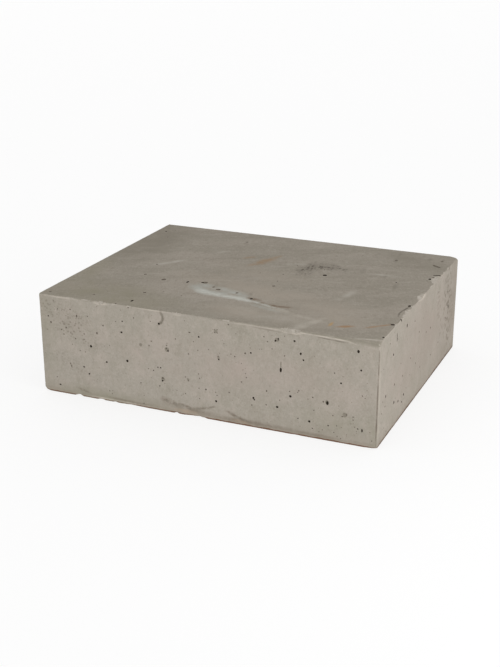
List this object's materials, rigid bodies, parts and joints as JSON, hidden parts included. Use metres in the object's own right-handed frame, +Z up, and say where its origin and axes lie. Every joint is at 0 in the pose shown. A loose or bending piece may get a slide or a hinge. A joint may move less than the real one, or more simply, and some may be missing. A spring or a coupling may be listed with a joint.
{
  "type": "concrete plinth",
  "caption": "Low rectangular block of cast concrete with flat top and underside, fine air voids, worn arrises and chipped corners, to stand an object on.",
  "frame": {"origin": "middle of the underside's rectangle, on the surface that the block stands on", "axes": "+X along the long side, +Y towards the back, +Z up"},
  "size_m": [0.4, 0.32, 0.118],
  "materials": {
    "concrete": "matte"
  },
  "bodies": {
    "root": {"plinth_block": "concrete"}
  },
  "joints": []
}
